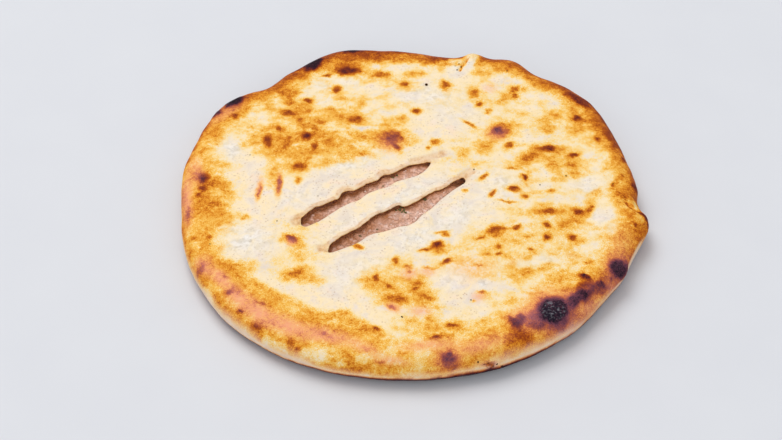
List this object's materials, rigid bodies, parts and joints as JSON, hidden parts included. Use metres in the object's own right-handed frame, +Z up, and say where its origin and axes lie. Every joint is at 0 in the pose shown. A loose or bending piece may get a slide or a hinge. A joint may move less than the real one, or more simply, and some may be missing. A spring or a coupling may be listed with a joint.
{
  "type": "kubdari",
  "caption": "Round flat bread of browned wheat dough closed round a disc of minced meat, which shows through slits in the top.",
  "frame": {"origin": "middle of the bread's outline, on the flat underside it lies on", "axes": "+Z up through the bread; +X to the right and +Y away from the viewer, so that the slits run from -X -Y towards +X +Y"},
  "size_m": [0.2506, 0.245, 0.0204],
  "materials": {
    "crust": "baked dough, satin, pale with golden and dark brown spots",
    "minced_meat": "moist cooked minced meat"
  },
  "bodies": {
    "root": {"bread_dough": "crust", "meat_filling": "minced_meat"}
  },
  "joints": []
}
